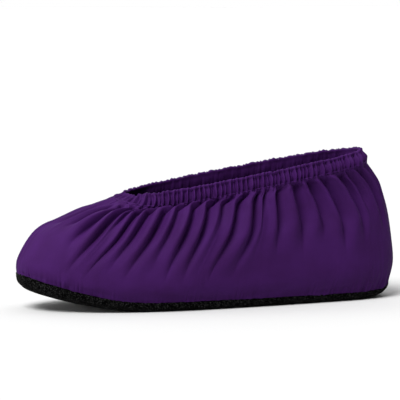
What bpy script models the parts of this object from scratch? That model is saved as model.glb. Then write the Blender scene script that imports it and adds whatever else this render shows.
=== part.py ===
"""A washable overshoe, in the shape that it has when it is worn and stands on the floor.

It has three sewn pieces: an upper of thin stretch cloth, which the collar gathers into long folds,
a collar that is a casing of the same cloth round an elastic, and a soft non-slip sole whose edge
curls up to meet the upper. The toe points along -X, the heel along +X and the floor is z = 0.
"""

import math
from collections import namedtuple

import bmesh
import bpy
from mathutils import Vector

# Driving sizes, in metres.
LENGTH = 0.320  # toe to heel, over the fullest part of the cloth
BALL_WIDTH = 0.115  # across the ball of the foot, over the fullest part
HEEL_WIDTH = 0.092  # across the heel, over the fullest part
FRONT_HEIGHT = 0.0907  # floor to the collar's hem at the instep
REAR_HEIGHT = 0.1235  # floor to the collar's hem at the heel
COLLAR_HEIGHT = 0.0125  # casing, from its stitch line to its hem
COLLAR_THICKNESS = 0.0048  # casing with its gathers, and the elastic in it
CLOTH = 0.0012  # wall of the upper
SOLE_THICKNESS = 0.0020  # wall of the sole
SOLE_LIP = 0.0010  # upright part at the top of the sole's edge
RIM_HEIGHT = 0.0100  # height of the sole's edge above the floor, on which CURLS is based
CURL_REACH = 0.0100  # how far the edge curls in before it lies on the floor, on which CURLS is based
TOE_SPRING = 0.0180  # how far the tip of the sole is raised off the floor
FOLD_DEPTH = 0.0034  # deepest fold, below the smooth skin
GATHER_DEPTH = 0.0014  # groove of one gather in the collar
GATHERS = 96  # gathers round the whole collar
SEWN_GAP = 0.0006  # clearance that each piece keeps to the next one
STITCH_GROOVE = 0.0018  # clearance under the casing, where its stitch line lies

# The skin is lofted through rings, from the sole's seam up to the collar's hem. A ring is a level
# of the skin. Its toe and heel are shares of LENGTH from the tip of the toe, its widths are shares
# of BALL_WIDTH and HEEL_WIDTH, and its front and rear are shares of the height between the sole's
# edge and the hem. Blunt is how square the two ends are: 2 is an ellipse.
Ring = namedtuple("Ring", "name level toe heel ball_width heel_width toe_blunt heel_blunt front rear")
RINGS = (
    Ring("seam", 0.00, 0.0010, 0.990, 0.928, 0.907, 2.34, 2.55, 0.000, 0.000),
    Ring("belly", 0.24, 0.0022, 1.002, 1.000, 1.000, 2.40, 2.46, 0.126, 0.175),
    Ring("shoulder", 0.48, 0.0520, 0.990, 0.941, 0.950, 2.30, 2.45, 0.563, 0.492),
    Ring("vamp", 0.74, 0.1564, 0.964, 0.800, 0.880, 2.20, 2.35, 0.826, 0.747),
    Ring("hem", 1.00, 0.2854, 0.911, 0.667, 0.814, 2.70, 2.31, 1.000, 1.000),
)
BALL_STATION = 0.30  # where the foot is widest, and where the toe starts to rise, from the toe
HEEL_STATION = 0.82  # where the heel's width is measured
TOE_LIFT_END = 0.325  # the sole is flat on the floor behind this share of LENGTH
CASING_LEVEL = 0.885  # level of the ring where the collar is stitched on
OUTLINE_STEPS = 160  # points along half a ring when its length is measured

# How steep the collar stands, in degrees, by the turn from the front to the heel.
Stand = namedtuple("Stand", "turn steep")
STANDS = (
    Stand(0.00, 10.0),
    Stand(0.03, 26.0),
    Stand(0.06, 52.0),
    Stand(0.10, 74.0),
    Stand(0.15, 78.0),
    Stand(0.36, 78.0),
    Stand(0.46, 68.0),
    Stand(0.50, 64.0),
)

# The sole's curled edge at stations along LENGTH: its height as a share of RIM_HEIGHT, how far it
# curls in as a share of CURL_REACH, and its fullness, where 1 is an elliptical curl.
Curl = namedtuple("Curl", "station rim reach fullness")
CURLS = (
    Curl(0.00, 1.15, 1.20, 1.3),
    Curl(0.30, 0.75, 0.70, 1.3),
    Curl(0.88, 0.67, 0.70, 1.3),
    Curl(0.95, 0.74, 1.50, 1.0),
    Curl(0.99, 1.25, 2.40, 1.0),
)

# One fold of the near side, from 0 at the toe to 0.5 at the heel. Turn is its place round the
# collar, middle its place half-way down and low its place above the sole. Depth is a share of
# FOLD_DEPTH, foot is the level where it dies out and half_width is half its width, as a turn.
Fold = namedtuple("Fold", "turn middle low depth foot half_width")
FOLDS = (
    Fold(0.009, 0.012, 0.014, 0.40, 0.55, 0.0030),
    Fold(0.016, 0.034, 0.032, 0.50, 0.55, 0.0040),
    Fold(0.024, 0.061, 0.060, 0.70, 0.42, 0.0045),
    Fold(0.037, 0.084, 0.071, 0.80, 0.30, 0.0045),
    Fold(0.047, 0.096, 0.081, 0.55, 0.56, 0.0045),
    Fold(0.058, 0.109, 0.091, 1.00, 0.27, 0.0055),
    Fold(0.076, 0.125, 0.112, 0.80, 0.30, 0.0070),
    Fold(0.095, 0.148, 0.133, 0.95, 0.27, 0.0075),
    Fold(0.117, 0.167, 0.160, 0.70, 0.31, 0.0075),
    Fold(0.141, 0.188, 0.178, 0.95, 0.25, 0.0075),
    Fold(0.166, 0.209, 0.199, 0.95, 0.25, 0.0080),
    Fold(0.193, 0.229, 0.214, 0.65, 0.46, 0.0080),
    Fold(0.224, 0.247, 0.228, 0.90, 0.25, 0.0080),
    Fold(0.247, 0.275, 0.257, 1.00, 0.26, 0.0075),
    Fold(0.260, 0.288, 0.279, 0.55, 0.60, 0.0055),
    Fold(0.281, 0.310, 0.308, 0.95, 0.34, 0.0085),
    Fold(0.313, 0.344, 0.344, 0.85, 0.34, 0.0080),
    Fold(0.338, 0.372, 0.372, 0.75, 0.42, 0.0075),
    Fold(0.364, 0.400, 0.400, 0.90, 0.32, 0.0080),
    Fold(0.400, 0.430, 0.430, 0.95, 0.38, 0.0070),
    Fold(0.416, 0.443, 0.443, 0.55, 0.62, 0.0055),
    Fold(0.441, 0.464, 0.463, 1.00, 0.40, 0.0075),
    Fold(0.465, 0.477, 0.476, 0.65, 0.62, 0.0055),
    Fold(0.479, 0.487, 0.486, 0.75, 0.52, 0.0050),
    Fold(0.492, 0.496, 0.496, 0.55, 0.60, 0.0040),
)
MIDDLE_LEVEL = 0.50  # where a fold has its middle place
LOW_LEVEL = 0.25  # below this it has its low place
FRONT_BOW = 2.6  # how late a fold near the toe bends to its place at the collar
REAR_BOW = 1.2  # how late a fold near the heel does
BOW_START = 0.12  # middle place of the last fold that bends as late as at the toe
BOW_SPAN = 0.24  # from there to the first one that bends as at the heel
FAR_SIDE_SHIFT = 0.0006  # how far a fold of the hidden side moves from its near-side twin, as a turn

LIP_SHARES = (-0.55, 0.0, 0.55, 1.0)  # places of a fold's columns, as shares of half its width
LIP_DEPTHS = (0.45, 1.0, 0.45, -0.25)  # how much of the fold's depth each has, and its crest's rise
CREST = 0.62  # place of a crest between its two folds, nearer the one at its heel side
FULL_SHARE = 0.625  # how far up from its foot a fold has its full depth
TOP_START = 2.0 / 3.0  # how far up it starts to get shallower again
TOP_DEPTH = 0.7  # how much of its depth is left at the stitch line
UPPER_ROWS = (0.0, 0.10, 0.19, 0.28, 0.40, 0.54, 0.69, 0.85, 1.0)  # shares of the way up the upper
SOLE_COLUMNS = 96
SOLE_CURL_STEPS = 3
SOLE_FLOOR_STEPS = 3
SPINE_REACH = 0.74  # length of the sole's centre line, as a share of the sole's own length
# The collar's section, once round it: share of its height, and of its thickness out of the skin.
COLLAR_SECTION = ((0.0, -0.19), (0.05, 0.34), (0.50, 0.41), (1.0, -0.03), (0.92, -0.50), (0.0, -0.59))
# How much of a gather shows at each point of that section.
GATHER_SHARES = (0.2, 1.0, 1.0, 0.1, 0.2, 0.4)
INNER_SIDE = -0.45  # points of the section behind this share are on the collar's inside

MERGE = 1e-6
NUDGE = 1e-3  # step, as a turn or a level, that measures the skin's slope
LEVEL_STEP = 0.02  # longer step, as a level, that measures how much cloth a level holds


def mix(low, high, share):
    """The value that lies a share of the way from low to high."""
    return low + (high - low) * share


def ease(share):
    """A share from 0 to 1, with a flat start and end."""
    share = min(1.0, max(0.0, share))
    return share * share * (3.0 - 2.0 * share)


def toe_rise(x):
    """Height of the sole's underside at x: flat on the floor, then a smooth rise to the toe."""
    flat_end = (TOE_LIFT_END - 0.5) * LENGTH
    tip = -0.5 * LENGTH
    return TOE_SPRING * max(0.0, (flat_end - x) / (flat_end - tip)) ** 2


def curl_at(x):
    """The sole's curled edge at x, eased from one row of its table to the next."""
    station = 0.5 + x / LENGTH
    row = 0
    while row < len(CURLS) - 2 and station > CURLS[row + 1].station:
        row += 1
    before, after = CURLS[row], CURLS[row + 1]
    share = ease((station - before.station) / (after.station - before.station))
    return Curl(*(mix(low, high, share) for low, high in zip(before, after)))


def steepness(turn):
    """How steep the collar stands at a turn of the near side, as an angle."""
    row = 0
    while row < len(STANDS) - 2 and turn > STANDS[row + 1].turn:
        row += 1
    before, after = STANDS[row], STANDS[row + 1]
    share = (turn - before.turn) / (after.turn - before.turn)
    return math.radians(mix(before.steep, after.steep, share))


def half_width(ring, station):
    """Half the width of a ring at a station from 0 at its toe to 1 at its heel."""
    share = ease((station - BALL_STATION) / (HEEL_STATION - BALL_STATION))
    full = mix(ring.ball_width * BALL_WIDTH, ring.heel_width * HEEL_WIDTH, share)
    across = 2.0 * station - 1.0
    blunt = ring.toe_blunt if across < 0.0 else ring.heel_blunt
    return 0.5 * full * max(0.0, 1.0 - abs(across) ** blunt) ** (1.0 / blunt)


def ring_height(ring, x, station):
    """Height of a ring above the floor. The low rings follow the raised toe, the hem doesn't."""
    floor = toe_rise(x) + curl_at(x).rim * RIM_HEIGHT
    front = mix(floor, FRONT_HEIGHT, ring.front)
    rear = mix(floor, REAR_HEIGHT, ring.rear)
    return mix(front, rear, station)


def half_ring(ring):
    """The near half of a ring, from its toe to its heel: its points and its length up to each."""
    points = []
    for step in range(OUTLINE_STEPS + 1):
        station = 0.5 - 0.5 * math.cos(math.pi * step / OUTLINE_STEPS)
        x = (mix(ring.toe, ring.heel, station) - 0.5) * LENGTH
        points.append(Vector((x, -half_width(ring, station), ring_height(ring, x, station))))
    lengths = [0.0]
    for before, after in zip(points, points[1:]):
        lengths.append(lengths[-1] + (after - before).length)
    return points, lengths


def stitch_ring(hem):
    """The near half of the ring where the collar is stitched on, out and down from the hem's."""
    points, lengths = hem
    lower = []
    for step, point in enumerate(points):
        along = points[min(step + 1, OUTLINE_STEPS)] - points[max(step - 1, 0)]
        out = Vector((along.y, -along.x, 0.0)).normalized()
        steep = steepness(0.5 * lengths[step] / lengths[-1])
        fall = Vector((0.0, 0.0, -math.sin(steep)))
        lower.append(point + COLLAR_HEIGHT * (math.cos(steep) * out + fall))
    return lower, lengths


HALF_RINGS = [half_ring(ring) for ring in RINGS]
HALF_RINGS.insert(-1, stitch_ring(HALF_RINGS[-1]))
LEVELS = [ring.level for ring in RINGS[:-1]] + [CASING_LEVEL, RINGS[-1].level]


def on_ring(index, turn):
    """The point of a ring at a turn: 0 is the toe, 0.25 the near side, 0.5 the heel, 0.75 the far side."""
    turn = turn % 1.0
    near = turn <= 0.5
    points, lengths = HALF_RINGS[index]
    target = 2.0 * (turn if near else 1.0 - turn) * lengths[-1]
    step = 1
    while step < len(points) - 1 and lengths[step] < target:
        step += 1
    span = lengths[step] - lengths[step - 1]
    point = points[step - 1].lerp(points[step], (target - lengths[step - 1]) / span)
    return point if near else Vector((point.x, -point.y, point.z))


def blend(before, after):
    """The slope between two slopes that keeps a curve from overshooting: none where they oppose."""
    pairs = zip(before, after)
    return Vector([2.0 * a * b / (a + b) if a * b > 0.0 else 0.0 for a, b in pairs])


def skin(turn, level):
    """A point of the smooth skin, on the curve that runs through the rings at one turn."""
    points = [on_ring(index, turn) for index in range(len(LEVELS))]
    last = len(LEVELS) - 1
    low = 0
    while low < last - 1 and level > LEVELS[low + 1]:
        low += 1
    climbs = [(points[i + 1] - points[i]) / (LEVELS[i + 1] - LEVELS[i]) for i in range(last)]
    slopes = [blend(climbs[max(0, i - 1)], climbs[min(last - 1, i)]) for i in (low, low + 1)]
    span = LEVELS[low + 1] - LEVELS[low]
    share = (level - LEVELS[low]) / span
    return (
        points[low] * (1.0 + 2.0 * share) * (1.0 - share) ** 2
        + slopes[0] * span * share * (1.0 - share) ** 2
        + points[low + 1] * share**2 * (3.0 - 2.0 * share)
        - slopes[1] * span * share**2 * (1.0 - share)
    )


def outward(turn, level):
    """The direction out of the skin."""
    low, high = min(level, 1.0 - NUDGE), min(level, 1.0 - NUDGE) + NUDGE
    along = skin(turn + NUDGE, low) - skin(turn - NUDGE, low)
    up = skin(turn, high) - skin(turn, low)
    return along.cross(up).normalized()


def top_level(turn):
    """The level where the upper ends, STITCH_GROOVE below the collar."""
    reach = (skin(turn, CASING_LEVEL) - skin(turn, CASING_LEVEL - LEVEL_STEP)).length
    return CASING_LEVEL - STITCH_GROOVE * LEVEL_STEP / reach


def all_folds():
    """The folds of both sides. The hidden side has the near side's folds, each moved a little."""
    folds = list(FOLDS)
    for number, fold in enumerate(reversed(FOLDS)):
        shift = 1.0 + FAR_SIDE_SHIFT * math.sin(2.4 * number)
        places = {"turn": shift - fold.turn, "middle": shift - fold.middle, "low": shift - fold.low}
        folds.append(fold._replace(**places))
    return folds


def fold_turn(fold, level):
    """The place of a fold at a level: it bows from the collar to its middle and on to its low place."""
    if level > MIDDLE_LEVEL:
        near = min(fold.middle, 1.0 - fold.middle)
        bow = mix(FRONT_BOW, REAR_BOW, ease((near - BOW_START) / BOW_SPAN))
        return mix(fold.middle, fold.turn, ((level - MIDDLE_LEVEL) / (CASING_LEVEL - MIDDLE_LEVEL)) ** bow)
    return mix(fold.low, fold.middle, ease((level - LOW_LEVEL) / (MIDDLE_LEVEL - LOW_LEVEL)))


def column_turn(column, folds, level):
    """The turn of one of the upper's columns at a level. Every fold has four columns: its floor
    between its two lips, and then the crest that parts it from the next fold."""
    number, part = divmod(column, len(LIP_SHARES))
    fold, following = folds[number], folds[(number + 1) % len(folds)]
    here = fold_turn(fold, level)
    if part < len(LIP_SHARES) - 1:
        return here + LIP_SHARES[part] * fold.half_width
    there = fold_turn(following, level) + (1.0 if following is folds[0] else 0.0)
    return mix(here + fold.half_width, there - following.half_width, CREST)


def groove(fold, level, top):
    """Depth of a fold's floor at a level: deepest just below the stitch line, and gone at its foot."""
    share = (level - fold.foot) / (top - fold.foot)
    shallower = mix(1.0, TOP_DEPTH, ease((share - TOP_START) / (1.0 - TOP_START)))
    return FOLD_DEPTH * fold.depth * ease(share / FULL_SHARE) * shallower


def closed_grid(name, columns, rows, place, closed_rows=False):
    """A cloth grid closed round the foot. place gives the corner at a column and a row."""
    mesh = bmesh.new()
    bmesh.ops.create_grid(mesh, x_segments=columns, y_segments=rows, size=0.5)
    for vert in mesh.verts:
        column = round((vert.co.x + 0.5) * columns) % columns
        row = round((vert.co.y + 0.5) * rows)
        vert.co = place(column, row % rows if closed_rows else row)
    bmesh.ops.remove_doubles(mesh, verts=mesh.verts, dist=MERGE)
    data = bpy.data.meshes.new(name)
    mesh.to_mesh(data)
    mesh.free()
    data.shade_smooth()
    return bpy.data.objects.new(name, data)


def thicken(obj, thickness):
    """Gives an open skin its wall, inwards from the face that shows."""
    wall = obj.modifiers.new("wall", "SOLIDIFY")
    wall.thickness = thickness
    wall.offset = -1.0
    wall.use_even_offset = True
    wall.thickness_clamp = 2.0


def material(name, colour, roughness):
    """A plain cloth or rubber colour."""
    made = bpy.data.materials.new(name)
    made.use_nodes = True
    shader = made.node_tree.nodes["Principled BSDF"]
    shader.inputs["Base Color"].default_value = (*colour, 1.0)
    shader.inputs["Roughness"].default_value = roughness
    shader.inputs["Metallic"].default_value = 0.0
    return made


def build_upper():
    """The gathered upper, from the sole's seam to the collar's stitch line."""
    folds = all_folds()

    def place(column, row):
        share = UPPER_ROWS[row]
        turn = column_turn(column, folds, share * CASING_LEVEL)
        top = top_level(turn)
        level = share * top
        number, part = divmod(column, len(LIP_SHARES))
        depth = LIP_DEPTHS[part] * groove(folds[number], level, top)
        point = skin(turn, level) - outward(turn, level) * depth
        return point + Vector((0.0, 0.0, SEWN_GAP * (1.0 - share)))

    upper = closed_grid("upper", len(folds) * len(LIP_SHARES), len(UPPER_ROWS) - 1, place)
    thicken(upper, CLOTH)
    return upper


def build_collar():
    """The elastic collar: a gathered casing round the opening, closed into one ring."""
    columns = 2 * GATHERS

    def place(column, row):
        turn = column / columns
        height, out = COLLAR_SECTION[row]
        level = mix(CASING_LEVEL, 1.0, height)
        grooved = GATHER_SHARES[row] * GATHER_DEPTH * (column % 2)
        side = 1.0 if out > INNER_SIDE else -1.0
        return skin(turn, level) + outward(turn, level) * (out * COLLAR_THICKNESS - side * grooved)

    return closed_grid("elastic_collar", columns, len(COLLAR_SECTION), place, closed_rows=True)


def sole_point(turn, row):
    """A point of the sole's underside, from its centre line out to its rim."""
    rim = on_ring(0, turn)
    curl = curl_at(rim.x)
    flat = rim - outward(turn, 0.0).xy.normalized().to_3d() * (curl.reach * CURL_REACH)
    if row > SOLE_FLOOR_STEPS + SOLE_CURL_STEPS:
        return rim
    if row > SOLE_FLOOR_STEPS:
        angle = 0.5 * math.pi * (row - SOLE_FLOOR_STEPS) / SOLE_CURL_STEPS
        point = rim.lerp(flat, (1.0 - math.sin(angle)) ** curl.fullness)
        floor = toe_rise(point.x)
        return Vector((point.x, point.y, mix(floor, rim.z - SOLE_LIP, 1.0 - math.cos(angle))))
    middle = 0.5 * (RINGS[0].toe + RINGS[0].heel - 1.0) * LENGTH
    spine = Vector((mix(middle, rim.x, SPINE_REACH), 0.0, 0.0))
    point = spine.lerp(flat, row / SOLE_FLOOR_STEPS)
    return Vector((point.x, point.y, toe_rise(point.x)))


def build_sole():
    """The non-slip sole: flat where it stands, raised at the toe, with its edge curled up."""

    def place(column, row):
        return sole_point(column / SOLE_COLUMNS, row)

    sole = closed_grid("sole", SOLE_COLUMNS, SOLE_FLOOR_STEPS + SOLE_CURL_STEPS + 1, place)
    thicken(sole, SOLE_THICKNESS)
    return sole


def main():
    for obj in list(bpy.data.objects):
        bpy.data.objects.remove(obj)
    overshoe = bpy.data.collections.new("overshoe")
    bpy.context.scene.collection.children.link(overshoe)
    purple = material("purple_stretch_cloth", (0.042, 0.009, 0.084), 0.70)
    casing = material("purple_gathered_casing", (0.034, 0.007, 0.070), 0.75)
    black = material("black_grip_sole", (0.006, 0.006, 0.006), 0.85)
    for obj, finish in ((build_upper(), purple), (build_collar(), casing), (build_sole(), black)):
        obj.data.materials.append(finish)
        overshoe.objects.link(obj)


main()
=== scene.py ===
"""A washable overshoe of purple stretch cloth with a black non-slip sole, as it stands when it is worn.

The toe points along -X, the heel along +X and the floor is z = 0. All sizes are in metres. The shape
is the one of the plain solids, a skin lofted through rings with folds that run down from the gathered
collar, made again in fine cloth.
"""

import math
from collections import namedtuple

import bpy
import numpy as np
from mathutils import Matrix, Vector


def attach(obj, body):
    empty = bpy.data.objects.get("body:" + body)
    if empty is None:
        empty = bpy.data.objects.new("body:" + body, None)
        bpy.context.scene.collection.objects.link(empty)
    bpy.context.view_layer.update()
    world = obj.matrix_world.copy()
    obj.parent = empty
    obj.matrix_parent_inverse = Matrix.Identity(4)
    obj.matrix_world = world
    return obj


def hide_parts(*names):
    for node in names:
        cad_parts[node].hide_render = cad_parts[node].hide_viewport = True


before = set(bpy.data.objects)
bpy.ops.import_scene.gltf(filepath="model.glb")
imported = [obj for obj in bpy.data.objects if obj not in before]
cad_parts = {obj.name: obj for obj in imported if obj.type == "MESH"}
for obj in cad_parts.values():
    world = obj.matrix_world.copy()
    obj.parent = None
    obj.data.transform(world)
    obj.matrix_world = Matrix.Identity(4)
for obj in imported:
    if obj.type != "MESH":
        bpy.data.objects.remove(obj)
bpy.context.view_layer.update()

# Sizes of the overshoe, in metres, the same as the plain solids'.
LENGTH = 0.320
BALL_WIDTH = 0.115
HEEL_WIDTH = 0.092
FRONT_HEIGHT = 0.0907
REAR_HEIGHT = 0.1235
COLLAR_HEIGHT = 0.0125
TOE_SPRING = 0.0180
BALL_STATION = 0.30
HEEL_STATION = 0.82
TOE_LIFT_END = 0.325
SPINE_REACH = 0.74

# The sole's curled edge, from the toe to the heel: the station along LENGTH, its height, how far it
# curls in, and its fullness, where 1 is an elliptical curl and more is a squarer one.
Curl = namedtuple("Curl", "station rim reach fullness")
CURLS = (
    Curl(0.00, 0.0115, 0.0120, 1.3),
    Curl(0.30, 0.0075, 0.0070, 1.3),
    Curl(0.88, 0.0067, 0.0070, 1.3),
    Curl(0.95, 0.0074, 0.0150, 1.0),
    Curl(0.99, 0.0125, 0.0240, 1.0),
)

# How steep the collar stands, in degrees, by the turn from the front to the heel.
Stand = namedtuple("Stand", "turn steep")
STANDS = (
    Stand(0.00, 10.0),
    Stand(0.03, 26.0),
    Stand(0.06, 52.0),
    Stand(0.10, 74.0),
    Stand(0.15, 78.0),
    Stand(0.36, 78.0),
    Stand(0.46, 68.0),
    Stand(0.50, 64.0),
)

# Cloth and sewing.
CLOTH = 0.0008  # wall of the upper
CASING = 0.0031  # the length that the section of the collar's casing is given in
SOLE_WALL = 0.0018
TUCK = 0.0007  # how far the upper goes up into the casing
SOLE_TUCK = 0.0006  # how far the upper goes down behind the sole's edge
SOLE_TUCK_REACH = 0.0015  # cloth over which it goes down
SOLE_LIP = 0.0010  # upright part at the top of the sole's edge
UPPER_REACH = 0.118  # cloth of the upper from the sole's edge to the hem, about
SOLE_REACH = 0.060  # cloth of the sole from its middle to its upper edge, about
KNIT = 0.00055  # spacing of the wales and courses
WAVE_RADIANS = 20.0  # what a wave texture turns through along one unit at a scale of one

# The sole round the heel, where its flat part is rounded off so that its cloth doesn't bunch up.
HEEL_ROUND_START = 0.095
HEEL_ROUND_SPAN = 0.020
HEEL_ROUNDINGS = 160

# The long folds of the upper and the ridges between them. A power says how narrow ridges are.
PUFF = 0.52  # how far a ridge swells, as a share of the space between its two folds
PUFF_LIMIT = 0.0080
RIDGE_BASE = 0.62  # height on a ridge, from 0 to 1, that lies on the skin
RIDGE_SKEW = 1.30  # how far past its middle a ridge is highest, going round with the turn
RIDGE_LOW_POWER = 1.1
RIDGE_HIGH_POWER = 1.5
RIDGE_START = 0.45  # level where ridges start to get narrower
RIDGE_SPAN = 0.50
CREASE = 0.0020  # half the width of the sharp crease along the bottom of a fold
CREASE_DEPTH = 0.0024
FOLD_ONSET = 2.1  # how soon a fold is full above its foot
FOLD_LEAN = 0.0012  # how far a ridge leans over the fold beside it
HELD_START = 0.930  # where the collar's stitches start to flatten the folds, as a share of the way up
HELD_SPAN = 0.065
HELD_REST = 0.04  # what is left of a fold at the stitches

# Small uneven relief: its seed, how many swellings it has round the foot and upwards, and their size.
Relief = namedtuple("Relief", "seed around upwards size")
FINE_CREASES = Relief(11, 330, 5, 0.00055)
CREASES = Relief(12, 190, 4, 0.00060)
WRINKLES = Relief(13, 64, 5, 0.0008)
SLACK = Relief(14, 15, 4, 0.0012)
TUCKS = Relief(15, 190, 3, 0.5)  # as a share of PUCKER_DEPTH
CASING_SWELLS = Relief(21, 150, 3, 0.00055)
CASING_WAVES = Relief(22, 60, 1, 0.00035)
HEM_RUFFLES = Relief(23, 90, 1, 0.0005)
GATHER_STRAY = Relief(25, 130, 2, 0.0026)  # in turns
FINE_GRAIN = Relief(31, 430, 7, 1.0)  # as a share of GRAIN_DEPTH
COARSE_GRAIN = Relief(32, 250, 5, 0.7)
SOLE_EDGE = Relief(33, 260, 1, 0.00035)
CREASED_START = 0.42  # level where creases begin
CREASED_SPAN = 0.40
WRINKLED_LOW = 0.4  # share of the wrinkles below that level
SLACK_LOSS = 0.7  # share of the slack that creased cloth loses
SLACK_SPAN = 1.0 / 3.0
GRAIN_DEPTH = 0.00032
GRAIN_SPAN = 0.25

# Rows of small pleats: the seed, how many there are round the foot, and their ridges' power. The
# upper's gathers have the seed of the collar's, so that they run on from them.
Pleats = namedtuple("Pleats", "seed count power")
GATHERS = 132
COLLAR_GATHERS = Pleats(4, GATHERS, 2.0)
INNER_GATHERS = Pleats(5, GATHERS, 1.0)
UPPER_GATHERS = Pleats(4, GATHERS, 1.0)
PUCKERS = Pleats(6, 250, 0.8)
PLEAT_STRAY = 0.38  # how far a valley strays to either side, as a share of the pleats' spacing
PLEAT_SHALLOWEST = 0.42  # the shallowest valley's share of the deepest

# Gathers of the upper, which run down from the collar.
UPPER_GATHER_DEPTH = 0.0020
UPPER_GATHER_START = 0.72  # level where they begin
UPPER_GATHER_SPAN = 0.14
UPPER_GATHER_HELD = 0.7  # what is left of them at the collar's stitches

# Puckers of the upper above the sole's seam, which are longest and deepest at the toe and the heel.
PUCKER_DEPTH = 0.0026
PUCKER_SIDE = 0.6  # their share at the sides
PUCKER_REACH = 0.008
PUCKER_END_REACH = 0.013
PUCKER_START = 0.002
PUCKER_END_POWER = 6
EDGE_DRAW = 0.0005  # how far the seam draws the upper's edge in
EDGE_REACH = 0.0008

# The seam down the middle of the toe and of the heel: a groove between two low rims.
SEAM_DEPTH = 0.0015
SEAM_WIDTH = 0.0017
SEAM_RIM = 0.0007
SEAM_RIM_PLACE = 0.0037
SEAM_RIM_WIDTH = 0.0018

# The collar's casing. A height is a share of its own height and a side is a share of CASING. Between
# is the side where its outer layer ends and its inner one begins, low down and at the hem.
GATHER_DEPTH = 0.0056
INNER_GATHER_DEPTH = 0.0005
DRAW_DEPTH = 0.0020  # how far each long fold draws the casing in
DRAW_WIDTH = 0.0022
DRAW_HEIGHT = 1.1
FRONT_LIE = 0.5  # how much of its roundness the casing keeps at the front, where it lies flat
FRONT_SPAN = 0.06  # in turns
OUTER_SIDE = 0.1
INNER_SIDE = -0.5
BETWEEN_LOW = -0.56
BETWEEN_HIGH = -0.42
BETWEEN_START = 0.60
BETWEEN_SPAN = 0.25
LAYER_GAP = 0.0002  # least gap between the layers
FOOT_HEIGHT = 0.1  # below this the casing's foot is ragged
RAGGED_DEPTH = 0.0013
RAGGED_MIDDLE = 0.0006
RUFFLE_DEPTH = 0.0007
RUFFLE_START = 0.5
RUFFLE_SPAN = 0.5

# Rings of the skin. Toe and heel are shares of LENGTH, the widths are shares of BALL_WIDTH and
# HEEL_WIDTH, and front and rear are shares of the height from the sole's edge to the hem.
Ring = namedtuple("Ring", "name level toe heel ball_width heel_width toe_blunt heel_blunt front rear")
RINGS = (
    Ring("seam", 0.00, 0.0010, 0.990, 0.928, 0.907, 2.34, 2.55, 0.000, 0.000),
    Ring("belly", 0.24, 0.0022, 1.002, 1.000, 1.000, 2.40, 2.46, 0.126, 0.175),
    Ring("shoulder", 0.48, 0.0520, 0.990, 0.941, 0.950, 2.30, 2.45, 0.563, 0.492),
    Ring("vamp", 0.74, 0.1564, 0.964, 0.800, 0.880, 2.20, 2.35, 0.826, 0.747),
    Ring("hem", 1.00, 0.2854, 0.911, 0.667, 0.814, 2.70, 2.31, 1.000, 1.000),
)
OUTLINE_STEPS = 1600

# Folds of the near side. Turn, middle and low are a fold's places round the foot at the collar,
# half-way down and above the sole, from 0 at the toe to 0.5 at the heel. Depth is how strong a fold
# is, from 0 to 1, and foot is the level where it dies out.
Fold = namedtuple("Fold", "turn middle low depth foot")
FOLDS = (
    Fold(0.009, 0.012, 0.014, 0.45, 0.55),
    Fold(0.016, 0.034, 0.032, 0.62, 0.53),
    Fold(0.024, 0.061, 0.060, 0.85, 0.38),
    Fold(0.037, 0.084, 0.071, 1.00, 0.27),
    Fold(0.047, 0.096, 0.081, 0.70, 0.50),
    Fold(0.058, 0.109, 0.091, 1.00, 0.27),
    Fold(0.076, 0.125, 0.112, 0.80, 0.30),
    Fold(0.095, 0.148, 0.133, 0.95, 0.27),
    Fold(0.117, 0.167, 0.160, 0.70, 0.31),
    Fold(0.141, 0.188, 0.178, 0.95, 0.25),
    Fold(0.166, 0.209, 0.199, 0.95, 0.25),
    Fold(0.193, 0.229, 0.214, 0.65, 0.46),
    Fold(0.224, 0.247, 0.228, 0.90, 0.25),
    Fold(0.247, 0.275, 0.257, 1.00, 0.26),
    Fold(0.260, 0.288, 0.279, 0.55, 0.60),
    Fold(0.281, 0.310, 0.308, 0.95, 0.34),
    Fold(0.313, 0.344, 0.344, 0.95, 0.34),
    Fold(0.338, 0.372, 0.372, 0.95, 0.40),
    Fold(0.364, 0.400, 0.400, 1.00, 0.32),
    Fold(0.400, 0.430, 0.430, 1.00, 0.36),
    Fold(0.416, 0.443, 0.443, 0.75, 0.55),
    Fold(0.441, 0.464, 0.463, 1.00, 0.40),
    Fold(0.465, 0.477, 0.476, 0.85, 0.55),
    Fold(0.479, 0.487, 0.486, 0.75, 0.52),
    Fold(0.492, 0.496, 0.496, 0.55, 0.60),
)
CASING_LEVEL = 0.885  # level of the collar's stitch line
MIDDLE_LEVEL = 0.50
LOW_LEVEL = 0.25
FRONT_BOW = 2.6  # how late a fold near the toe bends to its place at the collar, and one near the heel
REAR_BOW = 1.2
BOW_START = 0.12
BOW_SPAN = 0.24
FAR_SIDE_SHIFT = 0.0006
FAR_SIDE_STEP = 2.4  # radians from one fold's shift to the next's

# Columns of cloth round the foot, and rows upwards. The upper's rows are shares of its height.
RIDGE_COLUMNS = 22  # from one fold to the next
RIDGE_CROWDING = 0.05  # how much closer they are on a ridge than in its folds
COLLAR_COLUMNS = 1800
SOLE_COLUMNS = 900
SOLE_FLOOR_ROWS = 16
SOLE_CURL_ROWS = 16
PUCKERED_ROWS = np.linspace(0.0, 0.12, 8, endpoint=False)
FOLDED_ROWS = np.linspace(0.12, 0.93, 24)
GATHERED_ROWS = np.linspace(0.945, 1.0, 8)

# The photograph's camera, fitted to the overshoe's outline, in degrees, metres and pixels.
VIEW_AZIMUTH = -18.58
VIEW_ELEVATION = 5.86
VIEW_DISTANCE = 2.029
VIEW_SCALE = 1227.1  # pixels a metre at the overshoe
VIEW_MIDDLE = (0.0, 0.0, 0.055)
VIEW_LEFT = 7.79  # pixels from the middle to the picture's centre
VIEW_UP = 34.6
PICTURE_WIDTH = 400.0
SENSOR_WIDTH = 36.0  # millimetres

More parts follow.
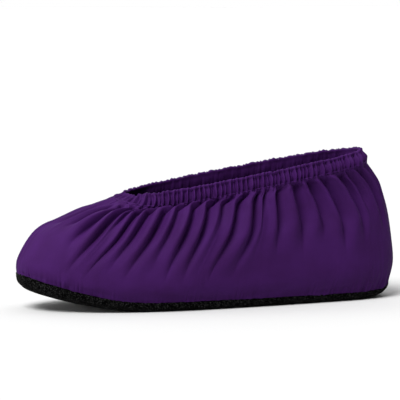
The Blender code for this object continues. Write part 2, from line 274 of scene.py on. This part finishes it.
# Light and floor. A sun's place and how wide it spreads are in degrees.
Sun = namedtuple("Sun", "name azimuth elevation spread strength")
SUNS = (
    Sun("key", -52.0, 54.0, 32.0, 3.9),
    Sun("rear", 160.0, 58.0, 100.0, 1.7),
    Sun("low", -108.0, 14.0, 24.0, 0.9),
)
FILL_STRENGTH = 0.11
FLOOR_SIZE = 40.0
WHITE = (1.0, 1.0, 1.0, 1.0)


def mix(low, high, share):
    """The value that lies a share of the way from low to high."""
    return low + (high - low) * share


def ease(share):
    """A share from 0 to 1, with a flat start and end."""
    share = np.clip(share, 0.0, 1.0)
    return share * share * (3.0 - 2.0 * share)


def fade(value, start, span):
    """A share that eases from 0 at the start to 1 a span further on."""
    return ease((value - start) / span)


def noise(relief, turn, height):
    """Smooth swellings of a relief, inwards and outwards. Turn runs once round the foot from 0 to 1,
    where they close on themselves, and height from 0 to 1."""
    knots = np.random.default_rng(relief.seed).uniform(-1.0, 1.0, (relief.upwards + 2, relief.around))
    turn = (turn % 1.0) * relief.around
    height = np.clip(height, 0.0, 1.0) * relief.upwards
    column, row = np.floor(turn).astype(int), np.floor(height).astype(int)
    side, up = ease(turn - column), ease(height - row)
    left, right = column % relief.around, (column + 1) % relief.around
    lower = mix(knots[row, left], knots[row, right], side)
    upper = mix(knots[row + 1, left], knots[row + 1, right], side)
    return relief.size * mix(lower, upper, up)


# The skin, which every piece is laid on.


def toe_rise(x):
    """Height of the sole's underside: flat on the floor, then a smooth rise to the toe."""
    flat_end = (TOE_LIFT_END - 0.5) * LENGTH
    tip = -0.5 * LENGTH
    return TOE_SPRING * np.maximum(0.0, (flat_end - x) / (flat_end - tip)) ** 2


def curl_value(column, x):
    """A value of the sole's curled edge at x, eased from one row of its table to the next."""
    station = 0.5 + np.asarray(x) / LENGTH
    value = getattr(CURLS[0], column)
    for before, after in zip(CURLS, CURLS[1:]):
        share = ease((station - before.station) / (after.station - before.station))
        value = value + (getattr(after, column) - getattr(before, column)) * share
    return value


def half_ring(ring):
    """The near half of a ring from toe to heel: its points, the share of its length up to each, and
    the length of the whole ring."""
    station = 0.5 - 0.5 * np.cos(np.linspace(0.0, math.pi, OUTLINE_STEPS + 1))
    x = (mix(ring.toe, ring.heel, station) - 0.5) * LENGTH
    share = ease((station - BALL_STATION) / (HEEL_STATION - BALL_STATION))
    full = mix(ring.ball_width * BALL_WIDTH, ring.heel_width * HEEL_WIDTH, share)
    across = 2.0 * station - 1.0
    blunt = np.where(across < 0.0, ring.toe_blunt, ring.heel_blunt)
    half = 0.5 * full * np.maximum(0.0, 1.0 - np.abs(across) ** blunt) ** (1.0 / blunt)
    floor = toe_rise(x) + curl_value("rim", x)
    height = mix(mix(floor, FRONT_HEIGHT, ring.front), mix(floor, REAR_HEIGHT, ring.rear), station)
    points = np.stack([x, -half, height], axis=1)
    steps = np.linalg.norm(np.diff(points, axis=0), axis=1)
    lengths = np.concatenate([[0.0], np.cumsum(steps)])
    return points, lengths / lengths[-1], 2.0 * lengths[-1]


def stitch_ring(hem):
    """The near half of the ring where the collar is stitched on, out and down from the hem's."""
    points, shares, _ = hem
    along = np.gradient(points, axis=0) * np.array([1.0, 1.0, 0.0])
    outward = np.cross(along, np.array([0.0, 0.0, 1.0]))
    outward /= np.linalg.norm(outward, axis=1, keepdims=True)
    steep = np.radians(np.interp(0.5 * shares, *zip(*STANDS)))[:, None]
    down = np.array([0.0, 0.0, -1.0])
    lower = points + COLLAR_HEIGHT * (np.cos(steep) * outward + np.sin(steep) * down)
    return lower, shares, 2.0 * np.sum(np.linalg.norm(np.diff(lower, axis=0), axis=1))


HALF_RINGS = [half_ring(ring) for ring in RINGS]
HALF_RINGS.insert(-1, stitch_ring(HALF_RINGS[-1]))
LEVELS = np.array([ring.level for ring in RINGS[:-1]] + [CASING_LEVEL, RINGS[-1].level])


def skin(turn, level):
    """Points of the smooth skin. Turn 0 is the toe, 0.25 the near side and 0.5 the heel."""
    turn, level = np.broadcast_arrays(np.asarray(turn, float) % 1.0, np.asarray(level, float))
    share = 2.0 * np.minimum(turn, 1.0 - turn)
    rings = []
    for points, lengths, _ in HALF_RINGS:
        rings.append(np.stack([np.interp(share, lengths, points[:, axis]) for axis in range(3)], axis=-1))
    rings = np.array(rings)
    rings[..., 1] *= np.where(turn > 0.5, -1.0, 1.0)
    last = len(LEVELS) - 1
    climbs = np.diff(rings, axis=0) / np.diff(LEVELS).reshape(-1, *[1] * (rings.ndim - 1))
    product = climbs[:-1] * climbs[1:]
    steady = product > 0.0
    total = np.where(steady, climbs[:-1] + climbs[1:], 1.0)
    between = np.where(steady, 2.0 * product / total, 0.0)
    slopes = np.concatenate([climbs[:1], between, climbs[-1:]])
    low = np.clip(np.searchsorted(LEVELS, level, side="left") - 1, 0, last - 1)
    span = LEVELS[low + 1] - LEVELS[low]
    s = ((level - LEVELS[low]) / span)[..., None]
    span = span[..., None]

    def pick(values, index):
        return np.take_along_axis(values, index[None, ..., None], axis=0)[0]

    return (
        pick(rings, low) * (1.0 + 2.0 * s) * (1.0 - s) ** 2
        + pick(slopes, low) * span * s * (1.0 - s) ** 2
        + pick(rings, low + 1) * s**2 * (3.0 - 2.0 * s)
        - pick(slopes, low + 1) * span * s**2 * (1.0 - s)
    )


def unit(vectors):
    """The same directions with a length of one."""
    return vectors / np.linalg.norm(vectors, axis=-1, keepdims=True)


def frame_of(turn, level, nudge=1e-3):
    """The directions along the skin round the foot, and out of it."""
    high = np.minimum(level + nudge, 1.0)
    along = skin(turn + nudge, level) - skin(turn - nudge, level)
    up = skin(turn, high) - skin(turn, high - nudge)
    return unit(along), unit(np.cross(along, up))


def girth(level):
    """The distance round the skin at a level."""
    return np.interp(level, LEVELS, [length for _, _, length in HALF_RINGS])


def from_stitch(turn, length):
    """The level that lies a length of cloth above the collar's stitch line."""
    step = 0.05
    reach = np.linalg.norm(skin(turn, CASING_LEVEL + step) - skin(turn, CASING_LEVEL), axis=-1)
    return CASING_LEVEL + length * step / reach


# Cloth pieces.


def cloth(name, points, sides, closed_rows=False):
    """A grid of cloth, closed round the foot. Sides are its width and height, for the pattern."""
    rows, columns = points.shape[:2]
    column, row = np.meshgrid(np.arange(columns), np.arange(rows if closed_rows else rows - 1))
    across, up = (column + 1) % columns, (row + 1) % rows
    corners = [row * columns + column, row * columns + across, up * columns + across, up * columns + column]
    faces = np.stack(corners, axis=-1).reshape(-1, 4)
    mesh = bpy.data.meshes.new(name)
    mesh.from_pydata(points.reshape(-1, 3).tolist(), [], faces.tolist())
    spans = rows if closed_rows else rows - 1
    u = np.stack([column, column + 1, column + 1, column], axis=-1) / columns * sides[0]
    v = np.stack([row, row, row + 1, row + 1], axis=-1) / spans * sides[1]
    layer = mesh.uv_layers.new(name="cloth")
    layer.data.foreach_set("uv", np.stack([u, v], axis=-1).reshape(-1))
    mesh.shade_smooth()
    mesh.validate()
    piece = bpy.data.objects.new(name, mesh)
    bpy.context.collection.objects.link(piece)
    return piece


def select_only(piece):
    """Makes a piece the only one that is selected, and the active one."""
    for other in bpy.context.selected_objects:
        other.select_set(False)
    bpy.context.view_layer.objects.active = piece
    piece.select_set(True)


def thicken(piece, thickness):
    """Gives an open piece of cloth its wall, inwards."""
    wall = piece.modifiers.new("wall", "SOLIDIFY")
    wall.thickness = thickness
    wall.offset = -1.0
    select_only(piece)
    bpy.ops.object.modifier_apply(modifier=wall.name)
    piece.select_set(False)


def fuse(piece, distance=1e-6):
    """Joins corners that lie on each other."""
    select_only(piece)
    bpy.ops.object.mode_set(mode="EDIT")
    bpy.ops.mesh.select_all(action="SELECT")
    bpy.ops.mesh.remove_doubles(threshold=distance)
    bpy.ops.object.mode_set(mode="OBJECT")
    piece.select_set(False)


def both_sides():
    """The folds of both sides, round the foot. The far side has the near side's, each moved a little."""
    folds = list(FOLDS)
    for number, fold in enumerate(reversed(FOLDS)):
        shift = 1.0 + FAR_SIDE_SHIFT * math.sin(FAR_SIDE_STEP * number)
        moved = {"turn": shift - fold.turn, "middle": shift - fold.middle, "low": shift - fold.low}
        folds.append(fold._replace(**moved))
    return folds


def fold_columns(level):
    """The places of every fold at each level, as one row of folds for each level."""
    places = []
    for fold in both_sides():
        bow = mix(FRONT_BOW, REAR_BOW, fade(min(fold.middle, 1.0 - fold.middle), BOW_START, BOW_SPAN))
        rise = np.clip((level - MIDDLE_LEVEL) / (CASING_LEVEL - MIDDLE_LEVEL), 0.0, 1.0)
        high = mix(fold.middle, fold.turn, rise**bow)
        low = mix(fold.low, fold.middle, fade(level, LOW_LEVEL, MIDDLE_LEVEL - LOW_LEVEL))
        places.append(np.where(level > MIDDLE_LEVEL, high, low))
    return np.stack(places, axis=-1)


def pleats(row, turn):
    """Depth of a row of small pleats, from 0 to 1: round ridges between uneven, narrow valleys. A ridge
    stays low where it is narrow."""
    rng = np.random.default_rng(row.seed)
    stray = rng.uniform(-PLEAT_STRAY, PLEAT_STRAY, row.count + 2)
    places = (np.arange(-1, row.count + 1) + 0.5 + stray) / row.count
    depths = rng.uniform(PLEAT_SHALLOWEST, 1.0, row.count + 2)
    places[[0, -1]] = places[-2] - 1.0, places[1] + 1.0
    depths[[0, -1]] = depths[-2], depths[1]
    turn = turn % 1.0
    right = np.searchsorted(places, turn)
    left = right - 1
    spacing = places[right] - places[left]
    phase = (turn - places[left]) / spacing
    ridge = np.clip(spacing * row.count, 0.0, 1.0) * np.sin(math.pi * phase) ** row.power
    return mix(depths[left], depths[right], phase) * (1.0 - ridge)


def upper_grid(share):
    """The turn and level of each point of the upper, the space between the two folds beside it, and
    its phase, from 0 at the one fold to 1 at the other. Share is how far up each row of points is."""
    here = fold_columns(share * CASING_LEVEL)
    there = np.roll(here, -1, axis=1)
    there[:, -1] += 1.0
    step = np.arange(RIDGE_COLUMNS) / RIDGE_COLUMNS
    across = step + RIDGE_CROWDING * np.sin(2.0 * math.pi * step)
    turn = mix(here[..., None], there[..., None], across)
    spacing = np.broadcast_to((there - here)[..., None], turn.shape)
    turn = turn.reshape(len(share), -1)
    level = share[:, None] * from_stitch(turn[-1], TUCK)[None, :]
    phase = np.tile(across, here.shape[1])[None, :]
    return turn, level, spacing.reshape(turn.shape) * girth(level), phase


def fold_strengths(share, held):
    """How strong the folds before and after each column of the upper are, from 0 to 1."""
    folds = both_sides()
    depth = np.array([fold.depth for fold in folds])
    foot = np.array([fold.foot for fold in folds])
    reach = ease(FOLD_ONSET * (share[:, None] * CASING_LEVEL - foot) / (CASING_LEVEL - foot))
    strength = depth * reach * held
    before = np.repeat(strength, RIDGE_COLUMNS, axis=1)
    after = np.repeat(np.roll(strength, -1, axis=1), RIDGE_COLUMNS, axis=1)
    return before, after


def long_folds(level, spacing, phase, before, after):
    """How far the cloth swells out of the skin in a ridge, or sinks in the crease of a fold."""
    sunk = before * np.exp(-phase * spacing / CREASE) + after * np.exp(-(1.0 - phase) * spacing / CREASE)
    power = mix(RIDGE_LOW_POWER, RIDGE_HIGH_POWER, fade(level, RIDGE_START, RIDGE_SPAN))
    rise = np.sin(math.pi * phase**RIDGE_SKEW) ** power
    swell = np.minimum(PUFF * spacing, PUFF_LIMIT) * (rise - RIDGE_BASE)
    return swell * mix(before, after, phase) - CREASE_DEPTH * sunk


def small_creases(turn, level, held):
    """Creases and wrinkles that run along the folds, slack cloth below them and gathers above."""
    along_folds = (np.arange(turn.shape[1]) / turn.shape[1])[None, :]
    creased = fade(level, CREASED_START, CREASED_SPAN)
    creases = (noise(FINE_CREASES, along_folds, level) + noise(CREASES, along_folds, level)) * creased
    wrinkles = noise(WRINKLES, along_folds, level) * mix(WRINKLED_LOW, 1.0, creased)
    slack = noise(SLACK, turn, level) * fade(level, 0.0, SLACK_SPAN) * (1.0 - SLACK_LOSS * creased)
    gathered = fade(level, UPPER_GATHER_START, UPPER_GATHER_SPAN) * mix(UPPER_GATHER_HELD, 1.0, held)
    gathers = UPPER_GATHER_DEPTH * pleats(UPPER_GATHERS, turn) * gathered
    return (creases + wrinkles) * held + slack - gathers


def edge_puckers(turn, level):
    """Puckers above the sole's seam, and the upper's edge drawn in to it."""
    height = level * UPPER_REACH
    at_ends = np.abs(np.cos(2.0 * math.pi * turn)) ** PUCKER_END_POWER
    strength = PUCKER_DEPTH * np.exp(-height / mix(PUCKER_REACH, PUCKER_END_REACH, at_ends))
    strength = strength * mix(PUCKER_SIDE, 1.0, at_ends) * (1.0 - np.exp(-height / PUCKER_START))
    tucks = noise(TUCKS, turn, level) - pleats(PUCKERS, turn)
    return tucks * strength - EDGE_DRAW * np.exp(-height / EDGE_REACH)


def centre_seam(turn, level):
    """The seam down the middle of the toe and of the heel."""
    away = np.minimum(np.abs(turn - np.round(turn)), np.abs(turn - 0.5)) * girth(level)
    groove = SEAM_DEPTH * np.exp(-((away / SEAM_WIDTH) ** 2))
    rim = SEAM_RIM * np.exp(-(((away - SEAM_RIM_PLACE) / SEAM_RIM_WIDTH) ** 2))
    return rim - groove


def make_upper():
    """The upper: ridges that rise gently and drop into the next fold, gathered under the collar and
    finely puckered above the sole."""
    share = np.concatenate([PUCKERED_ROWS, FOLDED_ROWS, GATHERED_ROWS])
    held = mix(1.0, HELD_REST, fade(share, HELD_START, HELD_SPAN))[:, None]
    turn, level, spacing, phase = upper_grid(share)
    before, after = fold_strengths(share, held)
    out = long_folds(level, spacing, phase, before, after) + small_creases(turn, level, held)
    out = out + edge_puckers(turn, level) + centre_seam(turn, level)
    along, outward = frame_of(turn, level)
    lean = FOLD_LEAN * np.sin(math.pi * phase) * mix(before, after, phase)
    points = skin(turn, level) + outward * out[..., None] + along * lean[..., None]
    points[..., 2] -= SOLE_TUCK * np.exp(-level * UPPER_REACH / SOLE_TUCK_REACH)
    upper = cloth("upper_cloth", points, (girth(RINGS[1].level), UPPER_REACH))
    thicken(upper, CLOTH)
    return upper


# One turn round the collar's casing: the share of its height, its place out of the skin as a share
# of its thickness, and how much of a gather shows there.
Edge = namedtuple("Edge", "height out gather")
CASING_SECTION = (
    Edge(0.09, -0.36, 0.00),
    Edge(0.09, 0.02, 0.00),
    Edge(0.00, 0.06, 0.10),
    Edge(-0.04, 0.14, 0.40),
    Edge(0.00, 0.30, 0.75),
    Edge(0.07, 0.48, 0.95),
    Edge(0.15, 0.64, 1.00),
    Edge(0.24, 0.78, 1.00),
    Edge(0.34, 0.88, 1.00),
    Edge(0.44, 0.86, 1.00),
    Edge(0.54, 0.78, 1.00),
    Edge(0.63, 0.64, 0.95),
    Edge(0.71, 0.46, 0.90),
    Edge(0.79, 0.34, 0.75),
    Edge(0.86, 0.42, 0.40),
    Edge(0.93, 0.44, 0.28),
    Edge(1.00, 0.16, 0.18),
    Edge(1.01, -0.26, 0.10),
    Edge(0.97, -0.54, 0.12),
    Edge(0.89, -0.64, 0.15),
    Edge(0.80, -0.62, 0.30),
    Edge(0.66, -0.80, 0.60),
    Edge(0.46, -0.94, 0.80),
    Edge(0.24, -0.96, 0.80),
    Edge(0.06, -0.88, 0.50),
    Edge(0.00, -0.62, 0.20),
    Edge(0.00, -0.36, 0.00),
)


def make_collar():
    """The elastic collar: a casing drawn into narrow gathers, from its ragged foot to its ruffled hem."""
    columns = np.arange(COLLAR_COLUMNS) / COLLAR_COLUMNS
    height, out, gather = (np.array(values)[:, None] for values in zip(*CASING_SECTION))
    turn = np.broadcast_to(columns[None, :], (len(height), COLLAR_COLUMNS))
    inner = out < INNER_SIDE
    strayed = turn + noise(GATHER_STRAY, turn, height) * np.clip(height, 0.0, 1.0)
    inside, outside = pleats(INNER_GATHERS, strayed), pleats(COLLAR_GATHERS, strayed)
    depth = gather * np.where(inner, INNER_GATHER_DEPTH * inside, GATHER_DEPTH * outside)
    folds = np.array([fold.turn for fold in both_sides()])
    from_fold = np.abs(columns[:, None] - folds).min(axis=1) * girth(1.0)
    drawn = DRAW_DEPTH * np.exp(-((from_fold / DRAW_WIDTH) ** 2)) * np.clip(DRAW_HEIGHT - height, 0.0, 1.0)
    swell = (noise(CASING_SWELLS, turn, height) - drawn * ~inner) * gather
    wave = noise(CASING_WAVES, turn, 0.0 * height) * gather

    front = fade(np.minimum(columns, 1.0 - columns), 0.0, FRONT_SPAN)
    lie = np.where(out > OUTER_SIDE, mix(FRONT_LIE, 1.0, front), 1.0)
    offset = lie * out * CASING + np.where(inner, -1.0, 1.0) * (swell - depth) + wave
    between = mix(BETWEEN_LOW, BETWEEN_HIGH, fade(height, BETWEEN_START, BETWEEN_SPAN)) * CASING
    offset = np.where(inner, np.minimum(offset, between - LAYER_GAP), np.maximum(offset, between))
    level = mix(CASING_LEVEL, 1.0, np.minimum(height, 1.0))
    _, outward = frame_of(turn, level)
    points = skin(turn, level) + outward * offset[..., None]
    at_foot = (height < FOOT_HEIGHT) & (gather > 0.0)
    ragged = (RAGGED_DEPTH * outside - RAGGED_MIDDLE) * at_foot
    ruffle = noise(HEM_RUFFLES, turn, 0.0 * height) - RUFFLE_DEPTH * outside
    points[..., 2] += ragged + ruffle * fade(height, RUFFLE_START, RUFFLE_SPAN)
    return cloth("collar_casing", points, (girth(1.0), 2.0 * COLLAR_HEIGHT), closed_rows=True)


def sole_rim(turn):
    """The sole's upper edge, and the direction in from it along the floor."""
    rim = skin(turn, np.zeros_like(turn))
    _, outward = frame_of(turn, np.zeros_like(turn))
    flat = outward * np.array([1.0, 1.0, 0.0])
    return rim, -unit(flat)


def make_sole():
    """The sole: a soft black tray, flat where it stands, with a grained edge that curls up."""
    turn = np.arange(SOLE_COLUMNS) / SOLE_COLUMNS
    rim, inward = sole_rim(turn)
    flat = rim + inward * curl_value("reach", rim[:, :1])
    heel = fade(rim[:, :1], HEEL_ROUND_START, HEEL_ROUND_SPAN)
    for _ in range(HEEL_ROUNDINGS):
        flat = mix(flat, 0.5 * (np.roll(flat, 1, axis=0) + np.roll(flat, -1, axis=0)), heel)
    fullness = curl_value("fullness", rim[:, :1])
    middle = 0.5 * (RINGS[0].toe + RINGS[0].heel - 1.0) * LENGTH
    spine = np.stack([mix(middle, rim[:, 0], SPINE_REACH), 0.0 * turn, 0.0 * turn], axis=1)
    rows = []
    for row in range(SOLE_FLOOR_ROWS):
        point = mix(spine, flat, row / SOLE_FLOOR_ROWS)
        point[:, 2] = toe_rise(point[:, 0])
        rows.append(point)
    for row in range(SOLE_CURL_ROWS + 1):
        angle = 0.5 * math.pi * row / SOLE_CURL_ROWS
        point = mix(rim, flat, (1.0 - math.sin(angle)) ** fullness)
        floor = toe_rise(point[:, 0])
        point[:, 2] = mix(floor, rim[:, 2] - SOLE_LIP, 1.0 - math.cos(angle))
        rows.append(point)
    rows.append(rim)
    points = np.array(rows)
    climb = np.clip((np.arange(len(rows)) - SOLE_FLOOR_ROWS) / SOLE_CURL_ROWS, 0.0, 1.0)[:, None]
    around = np.broadcast_to(turn[None, :], points.shape[:2])
    grain = noise(FINE_GRAIN, around, climb) + noise(COARSE_GRAIN, around, climb)
    grain = grain * GRAIN_DEPTH * fade(climb, 0.0, GRAIN_SPAN)
    points[..., :2] -= inward[None, :, :2] * grain[..., None]
    points[-1, :, 2] += np.minimum(noise(SOLE_EDGE, turn, 0.0 * turn), 0.0)
    points[..., 2] = np.maximum(points[..., 2], 0.0)
    sole = cloth("sole_grip", points, (girth(0.0), SOLE_REACH))
    fuse(sole)
    thicken(sole, SOLE_WALL)
    return sole


# Looks.


def linear(colour):
    """An sRGB hex colour as linear red, green, blue and alpha."""
    values = [int(colour[index : index + 2], 16) / 255.0 for index in (1, 3, 5)]
    values = [v / 12.92 if v <= 0.04045 else ((v + 0.055) / 1.055) ** 2.4 for v in values]
    return (*values, 1.0)


def node(tree, kind, links=None, **settings):
    """Adds a node. Settings are its own or its sockets' values, and links maps its sockets to others."""
    made = tree.nodes.new(kind)
    for name, value in settings.items():
        if hasattr(made, name):
            setattr(made, name, value)
        else:
            made.inputs[name.replace("_", " ").title()].default_value = value
    for name, source in (links or {}).items():
        tree.links.new(source, made.inputs[name])
    return made


def material(name, colour, roughness, specular):
    """A material with its shader, ready for a pattern."""
    made = bpy.data.materials.new(name)
    made.use_nodes = True
    shader = made.node_tree.nodes["Principled BSDF"]
    shader.inputs["Base Color"].default_value = linear(colour)
    shader.inputs["Roughness"].default_value = roughness
    shader.inputs["Specular IOR Level"].default_value = specular
    return made, made.node_tree, shader


def colour_by(tree, shader, pattern, *stops):
    """Colours a shader by a pattern, from one stop to the next: the pattern's value and a colour."""
    ramp = node(tree, "ShaderNodeValToRGB", {"Fac": pattern})
    for element, (position, colour) in zip(ramp.color_ramp.elements, stops):
        element.position = position
        element.color = linear(colour)
    tree.links.new(ramp.outputs["Color"], shader.inputs["Base Color"])


def emboss(tree, shader, pattern, strength, distance):
    """Gives a shader the relief of a pattern."""
    relief = node(tree, "ShaderNodeBump", {"Height": pattern}, strength=strength, distance=distance)
    tree.links.new(relief.outputs["Normal"], shader.inputs["Normal"])


def stretch_knit(name, shade, deep):
    """Polyester and elastane tricot, knitted fine and matt. Its loops give the eye a soft grain, and
    uneven dye gives it patches that are a little deeper."""
    made, tree, shader = material(name, shade, roughness=0.72, specular=0.06)
    pattern = node(tree, "ShaderNodeUVMap", uv_map="cloth").outputs["UV"]
    patches = node(tree, "ShaderNodeTexNoise", {"Vector": pattern}, scale=55.0, detail=3.0)
    colour_by(tree, shader, patches.outputs["Fac"], (0.25, deep), (0.75, shade))
    loops = node(tree, "ShaderNodeMath", operation="MULTIPLY")
    bands = 2.0 * math.pi / (WAVE_RADIANS * KNIT)
    for socket, across in zip(loops.inputs, "XY"):
        wave = node(tree, "ShaderNodeTexWave", {"Vector": pattern}, bands_direction=across, scale=bands)
        tree.links.new(wave.outputs["Fac"], socket)
    emboss(tree, shader, loops.outputs["Value"], strength=0.35, distance=0.00012)
    return made


def grip_rubber(name):
    """Polyester cloth coated with grained black rubber. The grain gives the edge a rough, speckled
    black with small dull lights."""
    made, tree, shader = material(name, "#030303", roughness=0.90, specular=0.02)
    place = node(tree, "ShaderNodeTexCoord").outputs["Object"]
    grain = node(tree, "ShaderNodeTexNoise", {"Vector": place}, scale=1050.0, detail=2.0)
    colour_by(tree, shader, grain.outputs["Fac"], (0.50, "#000000"), (0.72, "#343434"))
    emboss(tree, shader, grain.outputs["Fac"], strength=0.9, distance=0.0006)
    return made


# Camera, floor and light.


def direction(azimuth, elevation):
    """The direction from the overshoe to a viewer. Azimuth 0 is the near side, and a viewer at a
    negative azimuth stands towards the toe."""
    turn, rise = math.radians(azimuth), math.radians(elevation)
    return Vector((math.sin(turn) * math.cos(rise), -math.cos(turn) * math.cos(rise), math.sin(rise)))


def set_camera():
    """The photograph's view: from the near side, a little towards the toe and a little above."""
    back = direction(VIEW_AZIMUTH, VIEW_ELEVATION)
    turn = math.radians(VIEW_AZIMUTH)
    right = Vector((math.cos(turn), math.sin(turn), 0.0))
    up = back.cross(right)
    data = bpy.data.cameras.new("photograph_view")
    data.sensor_width = SENSOR_WIDTH
    data.lens = VIEW_SCALE * VIEW_DISTANCE / PICTURE_WIDTH * SENSOR_WIDTH
    camera = bpy.data.objects.new("photograph_view", data)
    middle = Vector(VIEW_MIDDLE)
    camera.location = middle + back * VIEW_DISTANCE
    aim = middle - right * (VIEW_LEFT / VIEW_SCALE) + up * (VIEW_UP / VIEW_SCALE)
    camera.rotation_euler = (aim - camera.location).to_track_quat("-Z", "Y").to_euler()
    bpy.context.collection.objects.link(camera)
    bpy.context.scene.camera = camera


def set_suns():
    """Wide soft light from three sides of the sky, strongest from above the toe."""
    for sun in SUNS:
        data = bpy.data.lights.new(sun.name, "SUN")
        data.energy = sun.strength
        data.angle = math.radians(sun.spread)
        light = bpy.data.objects.new(sun.name, data)
        to_viewer = direction(sun.azimuth, sun.elevation)
        light.rotation_euler = (-to_viewer).to_track_quat("-Z", "Y").to_euler()
        bpy.context.collection.objects.link(light)


def set_floor():
    """A floor of pale paper."""
    bpy.ops.object.select_all(action="DESELECT")
    bpy.ops.mesh.primitive_plane_add(size=FLOOR_SIZE, location=(0.0, 0.0, 0.0))
    floor = bpy.context.active_object
    floor.name = "studio_floor"
    floor.select_set(False)
    made, _, _ = material("matt_white_paper", "#D0D0D0", roughness=0.95, specular=0.0)
    floor.data.materials.append(made)


def set_backdrop():
    """A white backdrop, which the camera alone sees, and a faint fill of white light."""
    world = bpy.data.worlds.new("studio")
    world.use_nodes = True
    tree = world.node_tree
    seen = node(tree, "ShaderNodeLightPath")
    backdrop = node(tree, "ShaderNodeBackground", strength=1.0)
    backdrop.inputs["Color"].default_value = WHITE
    fill = tree.nodes["Background"]
    fill.inputs["Color"].default_value = WHITE
    fill.inputs["Strength"].default_value = FILL_STRENGTH
    both = node(tree, "ShaderNodeMixShader", {"Fac": seen.outputs["Is Camera Ray"]})
    tree.links.new(fill.outputs["Background"], both.inputs[1])
    tree.links.new(backdrop.outputs["Background"], both.inputs[2])
    tree.links.new(both.outputs["Shader"], tree.nodes["World Output"].inputs["Surface"])
    bpy.context.scene.world = world
    bpy.context.scene.view_settings.view_transform = "Standard"


def dress():
    """Puts each fine piece in the place of its plain one."""
    purple = stretch_knit("tricot_polyester_purple", "#3D1856", "#351349")
    black = grip_rubber("coated_cloth_black")
    upper, collar, sole = make_upper(), make_collar(), make_sole()
    for piece, plain, finish, slot in (
        (upper, "upper", purple, "stretch_cloth"),
        (collar, "elastic_collar", purple, "collar_cloth"),
        (sole, "sole", black, "grip_sole"),
    ):
        piece.data.materials.append(finish)
        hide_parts(plain)
        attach(piece, "root")


set_camera()
set_floor()
set_backdrop()
set_suns()
dress()
